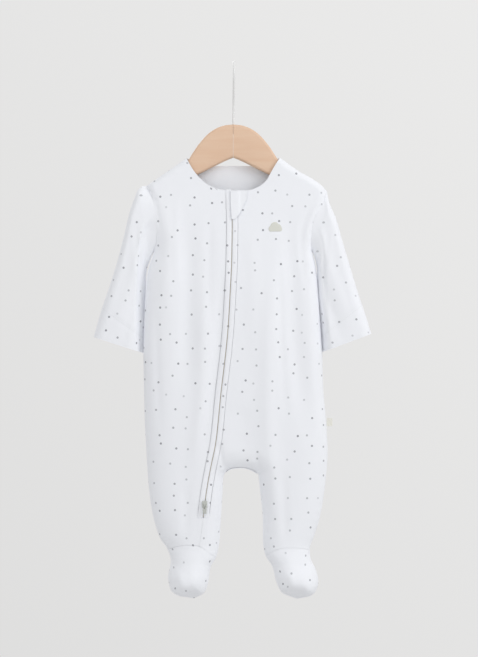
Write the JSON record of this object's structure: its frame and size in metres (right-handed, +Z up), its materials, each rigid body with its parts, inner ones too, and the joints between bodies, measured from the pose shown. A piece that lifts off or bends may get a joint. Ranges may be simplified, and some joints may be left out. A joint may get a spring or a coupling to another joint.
{
  "type": "footed baby sleepsuit on a hanger",
  "caption": "Long-sleeved footed baby sleepsuit with a long curved front zip and guard, hanging on a small wooden hanger by its wire hook.",
  "frame": {"origin": "inside top of the hanger's hook, where it rests on a rail", "axes": "+Z up, the front of the garment faces -Y, +X to the right as seen from the front"},
  "size_m": [0.347, 0.0566, 0.671],
  "materials": {
    "jersey": "white cotton interlock jersey with small grey pin dots",
    "zip_tape": "woven polyester zip tape with a fine coil chain",
    "zip_metal": "satin grey-green painted zinc",
    "label": "blank woven loop",
    "beech": "fine-sanded beech with a thin matt lacquer",
    "wire": "white painted steel wire"
  },
  "bodies": {
    "garment": {"front_left": "jersey", "front_right": "jersey", "back": "jersey", "sleeve_left": "jersey", "sleeve_right": "jersey", "crotch_gusset": "jersey", "foot_top_left": "jersey", "foot_top_right": "jersey", "sole_left": "jersey", "sole_right": "jersey", "zip_welt_left": "jersey", "zip_welt_right": "jersey", "zip_guard": "jersey", "zip_tape": "zip_tape", "zip_slider": "zip_metal", "side_label": "label", "hanger_arm_left": "beech", "hanger_arm_right": "beech", "hanger_hook": "wire"},
    "zip_pull": {"zip_pull": "zip_metal"}
  },
  "joints": [
    {"name": "zip_pull_hinge", "type": "hinge", "parent": "garment", "child": "zip_pull", "pos_m": [-0.03649, -0.0232, -0.5513], "axis": [-1, 0, 0], "range_deg": [0, 150]}
  ]
}
